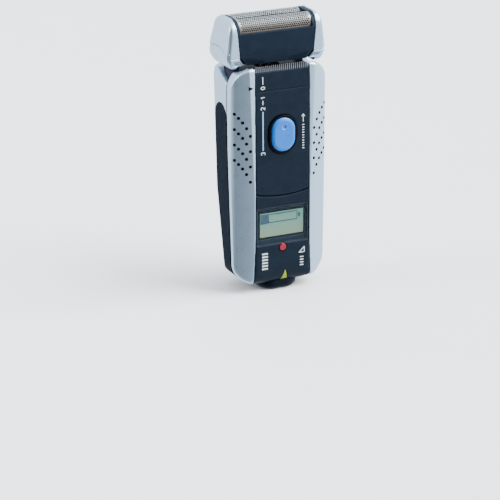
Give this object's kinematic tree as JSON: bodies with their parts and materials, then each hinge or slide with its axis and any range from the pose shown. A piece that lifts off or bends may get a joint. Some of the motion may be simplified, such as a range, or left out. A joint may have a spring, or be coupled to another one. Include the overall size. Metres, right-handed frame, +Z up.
{
  "type": "electric shaver",
  "caption": "Upright foil shaver: pivoting head with a foil cassette, slide-out trimmer on the front strip, display, rubber-gripped rear housing and a two-pin power socket underneath.",
  "frame": {"origin": "on the flat underside of the base, straight below the head's pivot axis", "axes": "+Z up the handle to the head; -Y out of the front, with the display; +X to the right seen from the front"},
  "size_m": [0.0604, 0.0388, 0.158],
  "materials": {
    "silver_shell": "metallic silver-blue lacquer, satin",
    "strip_plastic": "dark blue-black, semi-gloss",
    "grip_rubber": "dark blue-grey, matt, fine texture",
    "black_rubber": "black, matt",
    "frame_plastic": "dark purple-grey, fine mould texture",
    "head_plastic": "dark blue-black, satin",
    "black_plastic": "black, satin",
    "button_blue": "light blue, satin gloss",
    "lens_clear": "clear, tinted window",
    "lcd_glass": "pale green display",
    "lamp_red": "red, translucent",
    "lamp_green": "yellow-green, translucent",
    "foil_metal": "thin perforated foil",
    "blade_steel": "ground steel",
    "plain_steel": "plated steel",
    "ivory_plastic": "natural acetal",
    "board_green": "solder mask",
    "cell_wrap": "shrink sleeve",
    "motor_steel": "plated can",
    "gold_contact": "gold plated"
  },
  "bodies": {
    "handle": {"front_shell_left": "silver_shell", "front_shell_right": "silver_shell", "grip_studs": "black_rubber", "rear_shell": "silver_shell", "rear_grip": "grip_rubber", "housing_gasket": "black_rubber", "mid_frame": "frame_plastic", "front_panel": "strip_plastic", "display_lens": "lens_clear", "lcd_module": "lcd_glass", "charge_lens": "lamp_red", "status_lens": "lamp_green", "circuit_board": "board_green", "battery_cells": "cell_wrap", "battery_straps": "plain_steel", "motor": "motor_steel", "motor_bracket": "motor_steel", "power_socket": "black_plastic", "socket_pins": "gold_contact", "base_cap": "head_plastic", "charging_contacts": "gold_contact", "housing_screws": "plain_steel", "seal_bellows": "black_rubber", "pivot_pins": "plain_steel"},
    "slide": {"slide_panel": "strip_plastic", "trimmer_cover": "strip_plastic", "trimmer_comb": "blade_steel", "button_bezel": "black_plastic", "lock_spring": "plain_steel"},
    "lock": {"lock_button": "button_blue"},
    "trimmer_blade": {"trimmer_cutter": "blade_steel"},
    "rotor": {"motor_shaft": "plain_steel", "eccentric": "gold_contact"},
    "bridge": {"drive_bridge": "ivory_plastic", "drive_pin": "plain_steel"},
    "head": {"head_frame": "head_plastic", "side_cap_left": "silver_shell", "side_cap_right": "silver_shell", "release_spring_left": "plain_steel", "release_spring_right": "plain_steel"},
    "release_left": {"release_button_left": "silver_shell"},
    "release_right": {"release_button_right": "silver_shell"},
    "cassette": {"foil_frame": "head_plastic", "front_foil": "foil_metal", "rear_foil": "foil_metal", "centre_trimmer": "blade_steel"},
    "cutter": {"cutter_carrier": "ivory_plastic", "cutter_block_front": "blade_steel", "cutter_block_rear": "blade_steel", "cutter_springs": "plain_steel"}
  },
  "joints": [
    {"name": "head_pivot", "type": "hinge", "parent": "handle", "child": "head", "pos_m": [0, 0, 0.139], "axis": [-1, 0, 0], "range_deg": [-15, 15], "stiffness_Nm_per_rad": 0.06},
    {"name": "slide_travel", "type": "slide", "parent": "handle", "child": "slide", "axis": [0, 0, 1], "range_m": [0, 0.0374]},
    {"name": "lock_press", "type": "slide", "parent": "slide", "child": "lock", "axis": [0, 1, 0], "range_m": [0, 0.0008], "stiffness_N_per_m": 800, "deforming": ["lock_spring"]},
    {"name": "trimmer_stroke", "type": "slide", "parent": "slide", "child": "trimmer_blade", "axis": [1, 0, 0], "range_m": [-0.001, 0.001]},
    {"name": "rotor_spin", "type": "hinge", "parent": "handle", "child": "rotor", "pos_m": [0, 0, 0.1], "axis": [0, 0, 1], "continuous": true},
    {"name": "bridge_stroke", "type": "slide", "parent": "handle", "child": "bridge", "axis": [1, 0, 0], "range_m": [-0.0012, 0.0012], "stiffness_N_per_m": 1500},
    {"name": "release_press_left", "type": "slide", "parent": "head", "child": "release_left", "axis": [1, 0, 0], "range_m": [0, 0.001], "stiffness_N_per_m": 1200, "deforming": ["release_spring_left"]},
    {"name": "release_press_right", "type": "slide", "parent": "head", "child": "release_right", "axis": [-1, 0, 0], "range_m": [0, 0.001], "stiffness_N_per_m": 1200, "deforming": ["release_spring_right"]},
    {"name": "cassette_lift", "type": "slide", "parent": "head", "child": "cassette", "axis": [0, 0, 1], "range_m": [0, 0.02]},
    {"name": "cutter_stroke", "type": "slide", "parent": "head", "child": "cutter", "axis": [1, 0, 0], "range_m": [-0.0012, 0.0012]}
  ],
  "couplings": [
    {"joint": "cutter_stroke", "follows": "bridge_stroke", "ratio": 1}
  ]
}
